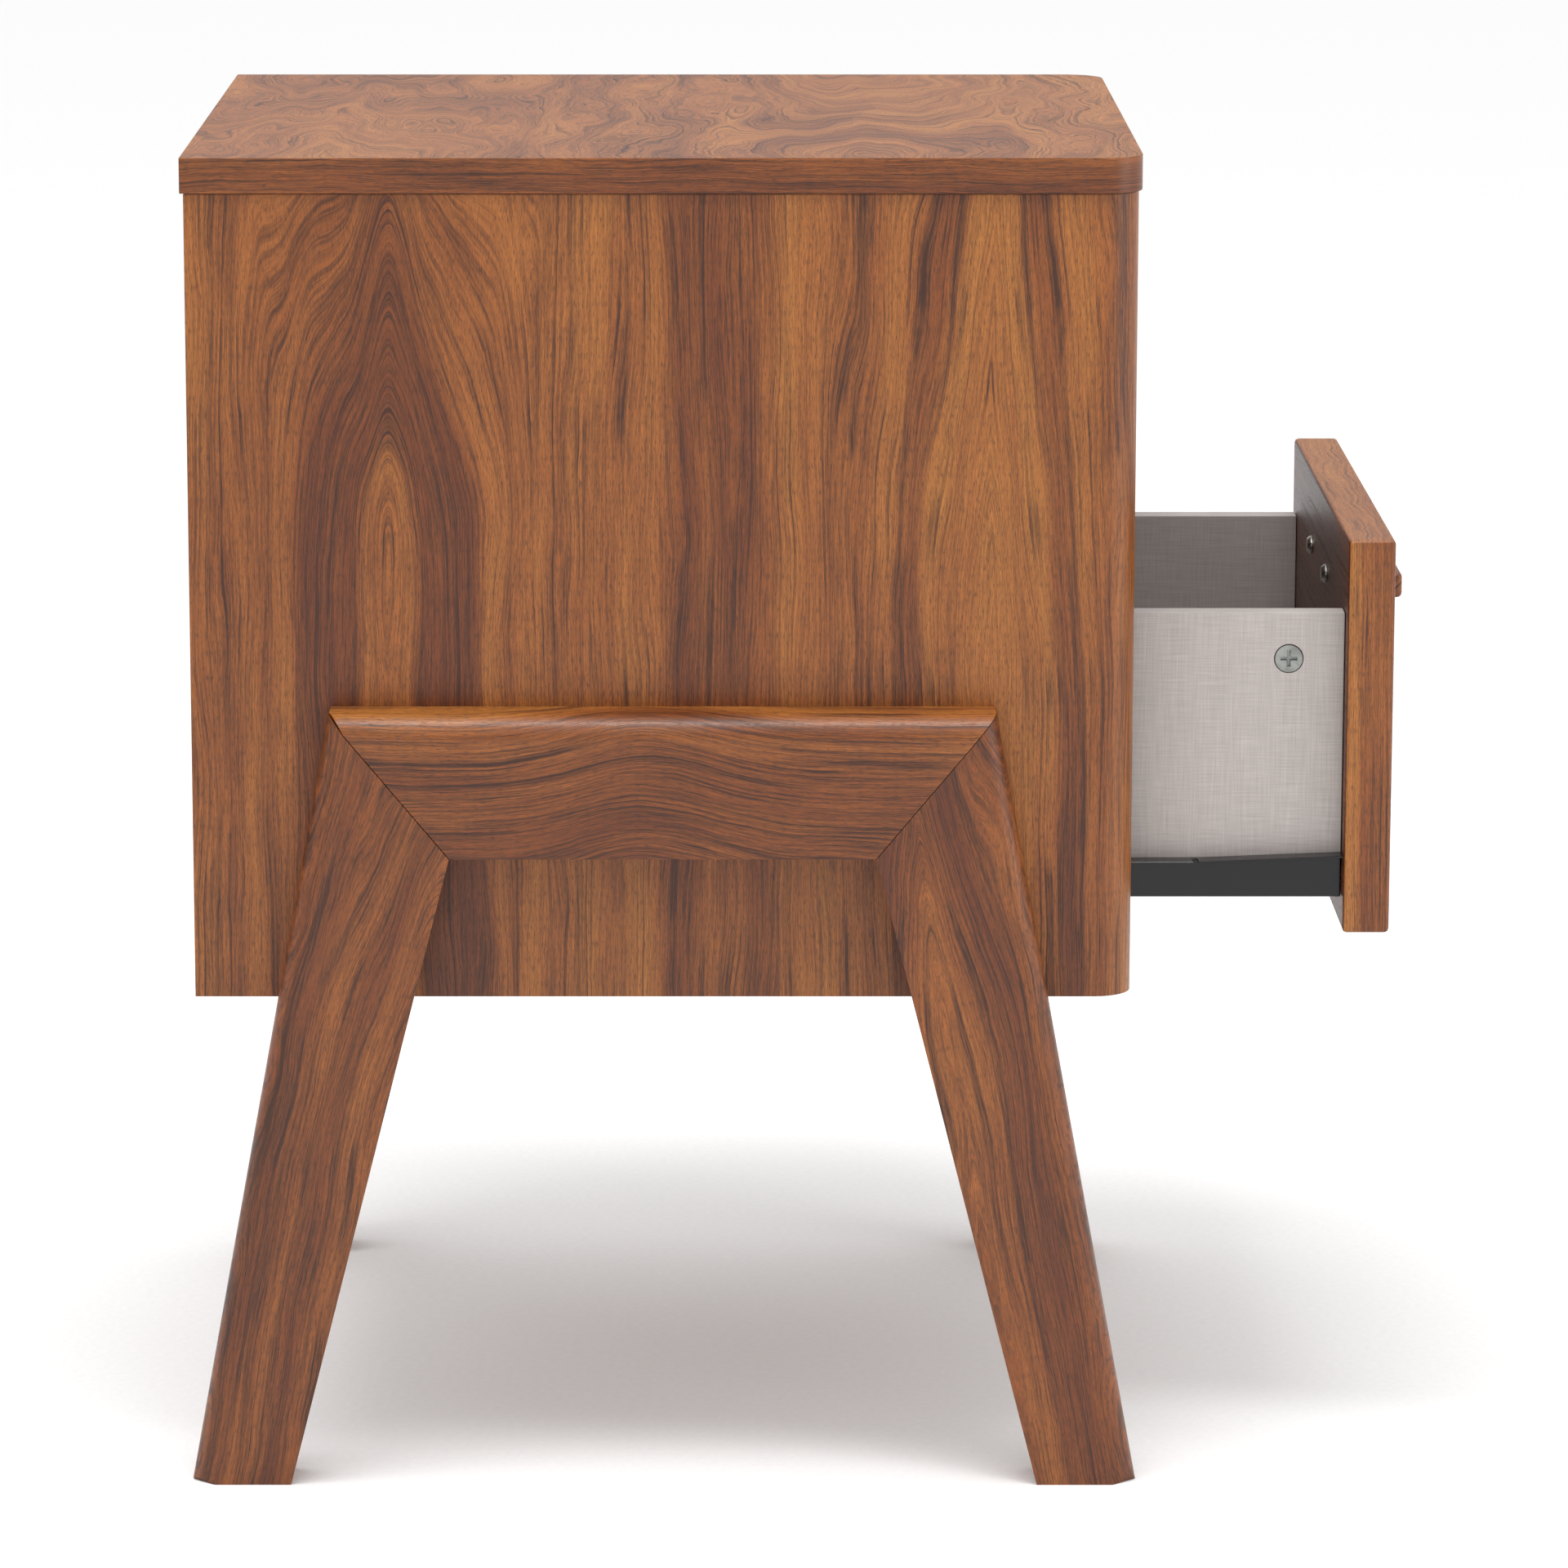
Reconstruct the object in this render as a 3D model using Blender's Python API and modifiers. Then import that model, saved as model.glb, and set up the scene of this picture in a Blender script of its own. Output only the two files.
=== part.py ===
"""Side table with one drawer: a veneered case, carried between two mitred leg frames.

Metres, +Z up. The front, with the drawer, faces -Y, and +X is on the right of someone who
looks at the front. The origin is on the floor under the middle of the table's box at rest,
and at rest the drawer stands part open. Case pieces are placed from the middle of the case,
which an empty carries, and drawer pieces from the same point with the drawer shut, under a
second empty that slides out.
"""
import math

import bmesh
import bpy
from mathutils import Vector

# Clearances
SEAT_GAP = 0.0003
RUNNING_GAP = 0.00015

# Case
CASE_WIDTH = 0.350
CASE_DEPTH = 0.399
CASE_HEIGHT = 0.343
CASE_LIFT = 0.209
SIDE_THICKNESS = 0.028
SIDE_FRONT_RADIUS = 0.016
TOP_THICKNESS = 0.015
TOP_OVERHANG = 0.0015
TOP_ARRIS = 0.0012
FLOOR_THICKNESS = 0.018
SHELF_THICKNESS = 0.018
BACK_THICKNESS = 0.005
BACK_REBATE = 0.010

# Leg frames
LEG_THICKNESS = 0.025
LEG_ROUNDOVER = 0.010
RAIL_LENGTH = 0.281
RAIL_HEIGHT = 0.0608
RAIL_RISE = 0.126
FOOT_SPREAD = 0.405
FOOT_WIDTH = 0.0427

# Drawer front and pull
FRONT_HEIGHT = 0.171
FRONT_THICKNESS = 0.020
FRONT_SIDE_GAP = 0.0015
FRONT_EDGE_GAP = 0.003
FRONT_SETBACK = 0.001
FRONT_ARRIS = 0.0018
PULL_LENGTH = 0.140
PULL_HEIGHT = 0.011
PULL_REACH = 0.010
PULL_ARRIS = 0.002
PULL_DROP = 0.0325
PULL_SCREW_SPACING = 0.076

# Drawer box
BOX_SIDE_THICKNESS = 0.012
BOX_SIDE_HEIGHT = 0.1227
BOX_LIFT = 0.0152
BOX_REAR_CLEARANCE = 0.0224
BOX_BACK_THICKNESS = 0.012
BOX_FLOOR_THICKNESS = 0.004
BOX_FLOOR_LIFT = 0.010
GROOVE_DEPTH = 0.005
DRAWER_OPEN_AT_REST = 0.113

# Runners, each folded from one gauge of strip: a carrier on the drawer and a track on the case
RUNNER_SPACE = 0.0125
RUNNER_GAUGE = 0.001
CARRIER_RAMP_LENGTH = 0.062
CARRIER_RAMP_RISE = 0.0025
CARRIER_NOTCH = 0.002
CARRIER_SIDE_CLEARANCE = 0.0012
CARRIER_OVER_TRACK = 0.0012
TRACK_DROP = 0.0022
TRACK_SIDE_CLEARANCE = 0.0009
TRACK_END_CLEARANCE = 0.002
TRACK_FLANGE_SETBACK = 0.020
ROLLER_RADIUS = 0.0065
ROLLER_CHAMFER = 0.0005
ROLLER_INSET = 0.010
ROLLER_SIDE_GAP = 0.0024
ROLLER_HEADROOM = 0.002
RIVET_RADIUS = 0.002
RIVET_HEAD_RADIUS = 0.0032
RIVET_HEAD_THICKNESS = 0.0008
RIVET_HEAD_CLEARANCE = 0.0004

# Fasteners
DOWEL_RADIUS = 0.004
DOWEL_LENGTH = 0.030
DOWEL_CHAMFER = 0.0008
TOP_DOWEL_DEPTH = 0.010
DOWEL_EDGE_INSET = 0.055
SCREW_CROWN_INSET = 0.0012
SCREW_TIP_CHAMFER = 0.0006
FRAME_BOLT_RADIUS = 0.003
FRAME_BOLT_HEAD_RADIUS = 0.006
FRAME_BOLT_HEAD_THICKNESS = 0.002
FRAME_BOLT_BITE = 0.016
FRAME_BOLT_SPACING = 0.100
PULL_SCREW_RADIUS = 0.002
PULL_SCREW_HEAD_RADIUS = 0.0042
PULL_SCREW_HEAD_THICKNESS = 0.0022
PULL_SCREW_BITE = 0.007
CAM_PIN_RADIUS = 0.0020
CAM_PIN_HEAD_RADIUS = 0.0025
CAM_PIN_HEAD_LENGTH = 0.0015
CAM_PIN_NECK_RADIUS = 0.0015
CAM_PIN_NECK_LENGTH = 0.003
CAM_PIN_TIP_CHAMFER = 0.0005
CAM_PIN_BITE = 0.011
CAM_RECESS_WIDTH = 0.0013
CAM_RECESS_DEPTH = 0.0016
CAM_RECESS_INSET = 0.0025
FLOOR_CAM_RADIUS = 0.0075
FLOOR_CAM_PAST_PIN = 0.0032
FLOOR_CAM_REACH = 0.034
FLOOR_CAM_EDGE_INSET = 0.060
BOX_CAM_RADIUS = 0.006
BOX_CAM_PAST_PIN = 0.004
BOX_CAM_REACH = 0.024
BOX_CAM_DROP = 0.020

# Facets
ROUND_STEPS = 16
CAM_STEPS = 24
ROLLER_STEPS = 32
CORNER_STEPS = 8

# Places that follow from the sizes
CASE_TOP = CASE_LIFT + CASE_HEIGHT
CASE_INNER_X = CASE_WIDTH / 2 - SIDE_THICKNESS
CASE_FRONT_Y = -CASE_DEPTH / 2
CASE_REAR_Y = CASE_DEPTH / 2
BACK_FRONT_Y = CASE_REAR_Y - BACK_THICKNESS
FRONT_FACE_Y = CASE_FRONT_Y + FRONT_SETBACK
FRONT_INNER_Y = FRONT_FACE_Y + FRONT_THICKNESS
FRONT_BOTTOM_Z = CASE_LIFT + FLOOR_THICKNESS + FRONT_EDGE_GAP
FRONT_TOP_Z = FRONT_BOTTOM_Z + FRONT_HEIGHT
SHELF_BOTTOM_Z = FRONT_TOP_Z + FRONT_EDGE_GAP
SHELF_MIDDLE_Z = SHELF_BOTTOM_Z + SHELF_THICKNESS / 2
FLOOR_MIDDLE_Z = CASE_LIFT + FLOOR_THICKNESS / 2
PULL_Z = FRONT_TOP_Z - PULL_DROP
BOX_OUTER_X = CASE_INNER_X - RUNNER_SPACE
BOX_INNER_X = BOX_OUTER_X - BOX_SIDE_THICKNESS
BOX_BOTTOM_Z = FRONT_BOTTOM_Z + BOX_LIFT
BOX_TOP_Z = BOX_BOTTOM_Z + BOX_SIDE_HEIGHT
BOX_FRONT_Y = FRONT_INNER_Y + SEAT_GAP
BOX_REAR_Y = BACK_FRONT_Y - BOX_REAR_CLEARANCE
BOX_BACK_FRONT_Y = BOX_REAR_Y - BOX_BACK_THICKNESS
BOX_FLOOR_Z = BOX_BOTTOM_Z + BOX_FLOOR_LIFT
BOX_CAM_Z = BOX_TOP_Z - BOX_CAM_DROP
BOX_CAM_LENGTH = BOX_SIDE_THICKNESS / 2 + BOX_CAM_PAST_PIN
FLOOR_CAM_LENGTH = FLOOR_THICKNESS / 2 + FLOOR_CAM_PAST_PIN

# Each runner stands a seat gap off its board, and its flanges reach towards the other's web.
CARRIER_BACK_X = BOX_OUTER_X + SEAT_GAP
CARRIER_WEB_X = CARRIER_BACK_X + RUNNER_GAUGE
TRACK_BACK_X = CASE_INNER_X - SEAT_GAP
TRACK_WEB_X = TRACK_BACK_X - RUNNER_GAUGE
CARRIER_FLANGE_X = TRACK_WEB_X - CARRIER_SIDE_CLEARANCE
TRACK_FLANGE_X = CARRIER_WEB_X + TRACK_SIDE_CLEARANCE
RIVET_REACH = TRACK_WEB_X - CARRIER_WEB_X - RIVET_HEAD_CLEARANCE - RIVET_HEAD_THICKNESS
ROLLER_WIDTH = RIVET_REACH - ROLLER_SIDE_GAP - SEAT_GAP
CARRIER_BOTTOM_Z = BOX_BOTTOM_Z - SEAT_GAP - RUNNER_GAUGE
TRACK_BOTTOM_Z = CARRIER_BOTTOM_Z - TRACK_DROP
REAR_ROLLER_Z = TRACK_BOTTOM_Z + RUNNER_GAUGE + SEAT_GAP + ROLLER_RADIUS
TRACK_TOP_Z = REAR_ROLLER_Z + ROLLER_RADIUS + ROLLER_HEADROOM + RUNNER_GAUGE
CARRIER_TOP_Z = TRACK_TOP_Z + CARRIER_OVER_TRACK + RUNNER_GAUGE
FRONT_ROLLER_Z = CARRIER_TOP_Z - RUNNER_GAUGE - SEAT_GAP - ROLLER_RADIUS
TRACK_FRONT_Y = FRONT_INNER_Y + TRACK_END_CLEARANCE
TRACK_REAR_Y = BOX_REAR_Y + TRACK_END_CLEARANCE

RAIL_TOP_Z = CASE_LIFT + RAIL_RISE
RAIL_BOTTOM_Z = RAIL_TOP_Z - RAIL_HEIGHT
FRAME_MIDDLE_X = CASE_WIDTH / 2 + SEAT_GAP + LEG_THICKNESS / 2
REST_FRONT_REACH = DRAWER_OPEN_AT_REST - FRONT_FACE_Y + SEAT_GAP + PULL_REACH
REST_REAR_REACH = max(FOOT_SPREAD / 2, CASE_REAR_Y + TOP_OVERHANG)
CASE_SHIFT_Y = (REST_FRONT_REACH - REST_REAR_REACH) / 2

# The curve tools draw an outline in their own XY plane and thicken it along Z. These turn
# that plane upright, with the thickness along X or along Y.
THICK_ALONG_X = (math.pi / 2, 0, math.pi / 2)
THICK_ALONG_Y = (math.pi / 2, 0, 0)
AXIS_ALONG_X = (0, math.pi / 2, 0)
AXIS_ALONG_Y = (-math.pi / 2, 0, 0)
AXIS_ALONG_Z = (0, 0, 0)


def clear_scene():
    for obj in list(bpy.data.objects):
        bpy.data.objects.remove(obj)


def new_collection(name):
    collection = bpy.data.collections.new(name)
    bpy.context.scene.collection.children.link(collection)
    return collection


def new_material(name, colour, roughness, metallic=0.0):
    material = bpy.data.materials.new(name)
    material.use_nodes = True
    shader = material.node_tree.nodes["Principled BSDF"]
    shader.inputs["Base Color"].default_value = (*colour, 1)
    shader.inputs["Roughness"].default_value = roughness
    shader.inputs["Metallic"].default_value = metallic
    material.diffuse_color = (*colour, 1)
    return material


def new_empty(name, location, parent=None):
    empty = bpy.data.objects.new(name, None)
    empty.location = location
    empty.parent = parent
    PARTS.objects.link(empty)
    return empty


def new_piece(name, mesh, material, parent, location=(0, 0, 0), rotation=(0, 0, 0)):
    piece = bpy.data.objects.new(name, mesh)
    piece.location = location
    piece.rotation_euler = rotation
    piece.parent = parent
    mesh.materials.append(material)
    PARTS.objects.link(piece)
    return piece


def new_cutter(name, mesh, parent, location=(0, 0, 0), rotation=(0, 0, 0)):
    cutter = bpy.data.objects.new(name, mesh)
    cutter.location = location
    cutter.rotation_euler = rotation
    cutter.parent = parent
    cutter.display_type = "WIRE"
    cutter.hide_render = True
    CUTTERS.objects.link(cutter)
    return cutter


def cut(piece, cutter):
    modifier = piece.modifiers.new(cutter.name, "BOOLEAN")
    modifier.operation = "DIFFERENCE"
    modifier.object = cutter


def bevel(piece, width, segments, weighted=False):
    modifier = piece.modifiers.new("rounded_edges", "BEVEL")
    modifier.width = width
    modifier.segments = segments
    modifier.limit_method = "WEIGHT" if weighted else "ANGLE"


def shade_round(mesh):
    mesh.shade_smooth()
    mesh.set_sharp_from_angle(angle=math.radians(35))


def box_mesh(name, low, high):
    """A box between two corners, in the coordinates of its parent."""
    low, high = Vector(low), Vector(high)
    shape = bmesh.new()
    bmesh.ops.create_cube(shape, size=1)
    bmesh.ops.scale(shape, vec=high - low, verts=shape.verts)
    bmesh.ops.translate(shape, vec=(low + high) / 2, verts=shape.verts)
    mesh = bpy.data.meshes.new(name)
    shape.to_mesh(mesh)
    shape.free()
    return mesh


def flat_mesh(name, outline, thickness):
    """A flat outline, filled and thickened either side of its plane."""
    curve = bpy.data.curves.new(name, "CURVE")
    curve.dimensions = "2D"
    curve.fill_mode = "BOTH"
    curve.extrude = thickness / 2
    spline = curve.splines.new("POLY")
    spline.points.add(len(outline) - 1)
    for point, (x, y) in zip(spline.points, outline):
        point.co = (x, y, 0, 1)
    spline.use_cyclic_u = True
    drawn = bpy.data.objects.new(name, curve)
    PARTS.objects.link(drawn)
    graph = bpy.context.evaluated_depsgraph_get()
    mesh = bpy.data.meshes.new_from_object(drawn.evaluated_get(graph))
    mesh.name = name
    bpy.data.objects.remove(drawn)
    bpy.data.curves.remove(curve)
    shape = bmesh.new()
    shape.from_mesh(mesh)
    bmesh.ops.remove_doubles(shape, verts=shape.verts, dist=1e-6)
    bmesh.ops.recalc_face_normals(shape, faces=shape.faces)
    shape.to_mesh(mesh)
    shape.free()
    return mesh


def turned_mesh(name, profile, steps, ring=False):
    """A profile of (radius, height) points, top to bottom down the outside, turned about Z."""
    outline = bpy.data.meshes.new(name + "_profile")
    links = [(i, i + 1) for i in range(len(profile) - 1)]
    if ring:
        links.append((len(profile) - 1, 0))
    outline.from_pydata([(radius, 0, height) for radius, height in profile], links, [])
    turning = bpy.data.objects.new(name + "_profile", outline)
    PARTS.objects.link(turning)
    modifier = turning.modifiers.new("turning", "SCREW")
    modifier.steps = steps
    modifier.render_steps = steps
    modifier.use_merge_vertices = True
    modifier.merge_threshold = 1e-5
    graph = bpy.context.evaluated_depsgraph_get()
    mesh = bpy.data.meshes.new_from_object(turning.evaluated_get(graph))
    mesh.name = name
    bpy.data.objects.remove(turning)
    bpy.data.meshes.remove(outline)
    shade_round(mesh)
    return mesh


def cylinder_mesh(name, radius, length, steps=ROUND_STEPS):
    shape = bmesh.new()
    bmesh.ops.create_cone(
        shape, cap_ends=True, segments=steps, radius1=radius, radius2=radius, depth=length
    )
    mesh = bpy.data.meshes.new(name)
    shape.to_mesh(mesh)
    shape.free()
    return mesh


def lofted_mesh(name, rings):
    """Skins a row of rings, each with the same number of points, and caps both ends."""
    shape = bmesh.new()
    loops = [[shape.verts.new(point) for point in ring] for ring in rings]
    count = len(rings[0])
    for near, far in zip(loops, loops[1:]):
        for i in range(count):
            shape.faces.new((near[i], near[(i + 1) % count], far[(i + 1) % count], far[i]))
    shape.faces.new(loops[0])
    shape.faces.new(loops[-1])
    bmesh.ops.recalc_face_normals(shape, faces=shape.faces)
    mesh = bpy.data.meshes.new(name)
    shape.to_mesh(mesh)
    shape.free()
    return mesh


def corner(centre, radius, start, end):
    """Points of a rounded corner, between two angles in degrees."""
    angles = [start + (end - start) * i / CORNER_STEPS for i in range(CORNER_STEPS + 1)]
    return [
        (
            centre[0] + radius * math.cos(math.radians(a)),
            centre[1] + radius * math.sin(math.radians(a)),
        )
        for a in angles
    ]


def bore(name, targets, centre, rotation, radius, length, parent, clearance=SEAT_GAP):
    """One round cutter, a clearance larger than what passes through it, for every target."""
    mesh = cylinder_mesh(name, radius + clearance, length + 2 * clearance)
    cutter = new_cutter(name, mesh, parent, centre, rotation)
    for target in targets:
        cut(target, cutter)


# Case


def make_top():
    half_x = CASE_WIDTH / 2 + TOP_OVERHANG
    half_y = CASE_DEPTH / 2 + TOP_OVERHANG
    radius = SIDE_FRONT_RADIUS + TOP_OVERHANG
    inner_x, inner_y = half_x - radius, half_y - radius
    outline = [(-half_x, half_y)]
    outline += corner((-inner_x, -inner_y), radius, 180, 270)
    outline += corner((inner_x, -inner_y), radius, 270, 360)
    outline += [(half_x, half_y)]
    mesh = flat_mesh("top_panel", outline, TOP_THICKNESS)
    middle_z = CASE_TOP + SEAT_GAP + TOP_THICKNESS / 2
    top = new_piece("top_panel", mesh, VENEER, CASE, (0, 0, middle_z))
    bevel(top, TOP_ARRIS, segments=2)
    return top


def make_side_panel(name, side):
    """An upright side, with its front outer edge rounded and its rear edge rebated."""
    outer, inner = CASE_WIDTH / 2, CASE_INNER_X
    rebate_x = inner + BACK_REBATE + SEAT_GAP
    rebate_y = BACK_FRONT_Y - SEAT_GAP
    round_x = outer - SIDE_FRONT_RADIUS
    round_y = CASE_FRONT_Y + SIDE_FRONT_RADIUS
    outline = corner((round_x, round_y), SIDE_FRONT_RADIUS, 270, 360)
    outline += [(outer, CASE_REAR_Y), (rebate_x, CASE_REAR_Y), (rebate_x, rebate_y)]
    outline += [(inner, rebate_y), (inner, CASE_FRONT_Y)]
    mesh = flat_mesh(name, [(side * x, y) for x, y in outline], CASE_HEIGHT)
    return new_piece(name, mesh, VENEER, CASE, (0, 0, CASE_LIFT + CASE_HEIGHT / 2))


def make_board(name, low_z, thickness):
    """A level board between the sides, from the drawer front's face to the back panel."""
    half_x = CASE_INNER_X - SEAT_GAP
    low = (-half_x, FRONT_FACE_Y, low_z)
    high = (half_x, BACK_FRONT_Y - SEAT_GAP, low_z + thickness)
    return new_piece(name, box_mesh(name, low, high), VENEER, CASE)


def make_back_panel():
    half_x = CASE_INNER_X + BACK_REBATE
    low = (-half_x, BACK_FRONT_Y, CASE_LIFT)
    high = (half_x, CASE_REAR_Y, CASE_TOP)
    return new_piece("back_panel", box_mesh("back_panel", low, high), HARDBOARD, CASE)


# Leg frames, drawn as distances along Y from the middle and heights along Z


def lines_meet(start, along, other, other_along):
    """The point where two lines of a plane cross."""
    cross = along.x * other_along.y - along.y * other_along.x
    offset = other - start
    return start + along * ((offset.x * other_along.y - offset.y * other_along.x) / cross)


def leg_frame_lines():
    """The corners of half a leg frame, and the direction of its mitre and the mitre's normal."""
    shoulder = Vector((RAIL_LENGTH / 2, RAIL_TOP_Z))
    toe = Vector((FOOT_SPREAD / 2, 0))
    heel = Vector((FOOT_SPREAD / 2 - FOOT_WIDTH, 0))
    down_leg = (toe - shoulder).normalized()
    mitre = (down_leg + Vector((-1, 0))).normalized()
    across = Vector((-mitre.y, mitre.x))
    crotch = lines_meet(shoulder, mitre, Vector((0, RAIL_BOTTOM_Z)), Vector((1, 0)))
    return shoulder, toe, heel, crotch, mitre, across


def round_over(piece, start, end, outer_face):
    """Rounds the outer face's edge that runs from one corner of the outline to another."""
    mesh = piece.data
    weights = mesh.attributes.new("bevel_weight_edge", "FLOAT", "EDGE")
    ends = {tuple(round(value, 5) for value in corner_point) for corner_point in (start, end)}
    for edge in mesh.edges:
        points = [mesh.vertices[i].co for i in edge.vertices]
        on_outline = {(round(point.x, 5), round(point.y, 5)) for point in points} == ends
        if on_outline and all(point.z * outer_face > 0 for point in points):
            weights.data[edge.index].value = 1
    bevel(piece, LEG_ROUNDOVER, segments=6, weighted=True)


def make_leg_frame(label, side):
    """A rail and two legs, mitred at the shoulders, with a dowel across each mitre."""
    shoulder, toe, heel, crotch, mitre, across = leg_frame_lines()
    joint_gap = across * (SEAT_GAP / 2)
    level = Vector((1, 0))
    down_leg = toe - shoulder
    rail_top = lines_meet(shoulder - joint_gap, mitre, shoulder, level)
    rail_low = lines_meet(shoulder - joint_gap, mitre, crotch, level)
    leg_top = lines_meet(shoulder + joint_gap, mitre, shoulder, down_leg)
    leg_inner = lines_meet(shoulder + joint_gap, mitre, crotch, heel - crotch)

    rail_name = f"{label}_leg_rail"
    place = (side * FRAME_MIDDLE_X, 0, 0)
    outline = [(-rail_top.x, rail_top.y), (-rail_low.x, rail_low.y)]
    outline += [tuple(rail_low), tuple(rail_top)]
    mesh = flat_mesh(rail_name, outline, LEG_THICKNESS)
    rail = new_piece(rail_name, mesh, VENEER, CASE, place, THICK_ALONG_X)
    round_over(rail, outline[0], outline[3], side)

    dowel_middle = (shoulder + crotch) / 2
    for end, direction in (("front", -1), ("rear", 1)):
        leg_name = f"{label}_{end}_leg"
        outline = [(direction * p.x, p.y) for p in (leg_top, toe, heel, leg_inner)]
        mesh = flat_mesh(leg_name, outline, LEG_THICKNESS)
        leg = new_piece(leg_name, mesh, VENEER, CASE, place, THICK_ALONG_X)
        round_over(leg, outline[0], outline[1], side)

        centre = (side * FRAME_MIDDLE_X, direction * dowel_middle.x, dowel_middle.y)
        tilt = direction * math.atan2(across.x, across.y)
        turn = (-tilt, 0, 0)
        add_dowel(f"{label}_{end}_mitre_dowel", (rail, leg), centre, turn)
    return rail


# Fasteners


def add_dowel(name, targets, centre, rotation):
    half = DOWEL_LENGTH / 2
    narrow = DOWEL_RADIUS - DOWEL_CHAMFER
    shoulder = half - DOWEL_CHAMFER
    profile = [(0, half), (narrow, half), (DOWEL_RADIUS, shoulder)]
    profile += [(DOWEL_RADIUS, -shoulder), (narrow, -half), (0, -half)]
    mesh = turned_mesh(name, profile, ROUND_STEPS)
    new_piece(name, mesh, BEECH, CASE, centre, rotation)
    bore(name + "_bore", targets, centre, rotation, DOWEL_RADIUS, DOWEL_LENGTH, CASE)


def add_headed_screw(name, material, parent, centre, rotation, head, shank):
    """A screw whose head's underside is at the centre, head up, each a (radius, length)."""
    head_radius, head_length = head
    shank_radius, shank_length = shank
    crown = head_radius - SCREW_CROWN_INSET
    tip = shank_radius - SCREW_TIP_CHAMFER
    profile = [(0, head_length), (crown, head_length), (head_radius, head_length / 3)]
    profile += [(head_radius, 0), (shank_radius, 0)]
    profile += [(shank_radius, SCREW_TIP_CHAMFER - shank_length)]
    profile += [(tip, -shank_length), (0, -shank_length)]
    mesh = turned_mesh(name, profile, ROUND_STEPS)
    return new_piece(name, mesh, material, parent, centre, rotation)


def add_frame_bolts(label, side, side_panel, rail):
    """Bolts from inside the case, through its side and into the leg frame's rail."""
    middle_z = (RAIL_TOP_Z + RAIL_BOTTOM_Z) / 2
    head_x = side * (CASE_INNER_X - SEAT_GAP)
    shank = SIDE_THICKNESS + 2 * SEAT_GAP + FRAME_BOLT_BITE
    for end, direction in (("front", -1), ("rear", 1)):
        name = f"{label}_{end}_frame_bolt"
        y = direction * FRAME_BOLT_SPACING / 2
        turn = (0, -side * math.pi / 2, 0)
        head = (FRAME_BOLT_HEAD_RADIUS, FRAME_BOLT_HEAD_THICKNESS)
        place = (head_x, y, middle_z)
        add_headed_screw(name, ZINC, CASE, place, turn, head, (FRAME_BOLT_RADIUS, shank))
        centre = (head_x + side * shank / 2, y, middle_z)
        boards = (side_panel, rail)
        bore(name + "_bore", boards, centre, AXIS_ALONG_X, FRAME_BOLT_RADIUS, shank, CASE)


def add_cam(name, radius, length, place, face, board, parent):
    """A cam let into a board: place is on the board's surface, and face points out of it."""
    place, face = Vector(place), Vector(face)
    turn = face.to_track_quat("Z", "Y").to_euler()
    middle = place - face * (SEAT_GAP + length / 2)
    mesh = cylinder_mesh(name, radius, length, CAM_STEPS)
    shade_round(mesh)
    cam = new_piece(name, mesh, ZINC, parent, middle, turn)

    arm = radius - CAM_RECESS_INSET
    slot = CAM_RECESS_WIDTH / 2
    for label, x, y in (("across", arm, slot), ("upright", slot, arm)):
        low = (-x, -y, length / 2 - CAM_RECESS_DEPTH)
        high = (x, y, length)
        recess = box_mesh(f"{name}_recess_{label}", low, high)
        cut(cam, new_cutter(recess.name, recess, parent, middle, turn))

    depth = length + 2 * SEAT_GAP
    pocket = cylinder_mesh(name + "_pocket", radius + SEAT_GAP, 2 * depth, CAM_STEPS)
    cut(board, new_cutter(pocket.name, pocket, parent, place, turn))
    return cam


def add_cam_pin(name, start, end, targets, parent):
    """The pin that a cam draws in: its tip is at start, and its head at end, in the cam."""
    start, end = Vector(start), Vector(end)
    turn = (end - start).to_track_quat("Z", "Y").to_euler()
    length = (end - start).length
    half = length / 2
    under_head = half - CAM_PIN_HEAD_LENGTH
    under_neck = under_head - CAM_PIN_NECK_LENGTH
    profile = [(0, half), (CAM_PIN_HEAD_RADIUS, half), (CAM_PIN_HEAD_RADIUS, under_head)]
    profile += [(CAM_PIN_NECK_RADIUS, under_head), (CAM_PIN_NECK_RADIUS, under_neck)]
    profile += [(CAM_PIN_RADIUS, under_neck), (CAM_PIN_RADIUS, CAM_PIN_TIP_CHAMFER - half)]
    profile += [(CAM_PIN_RADIUS - CAM_PIN_TIP_CHAMFER, -half), (0, -half)]
    mesh = turned_mesh(name, profile, ROUND_STEPS)
    middle = (start + end) / 2
    new_piece(name, mesh, ZINC, parent, middle, turn)
    bore(name + "_bore", targets, middle, turn, CAM_PIN_HEAD_RADIUS, length, parent)


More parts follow.
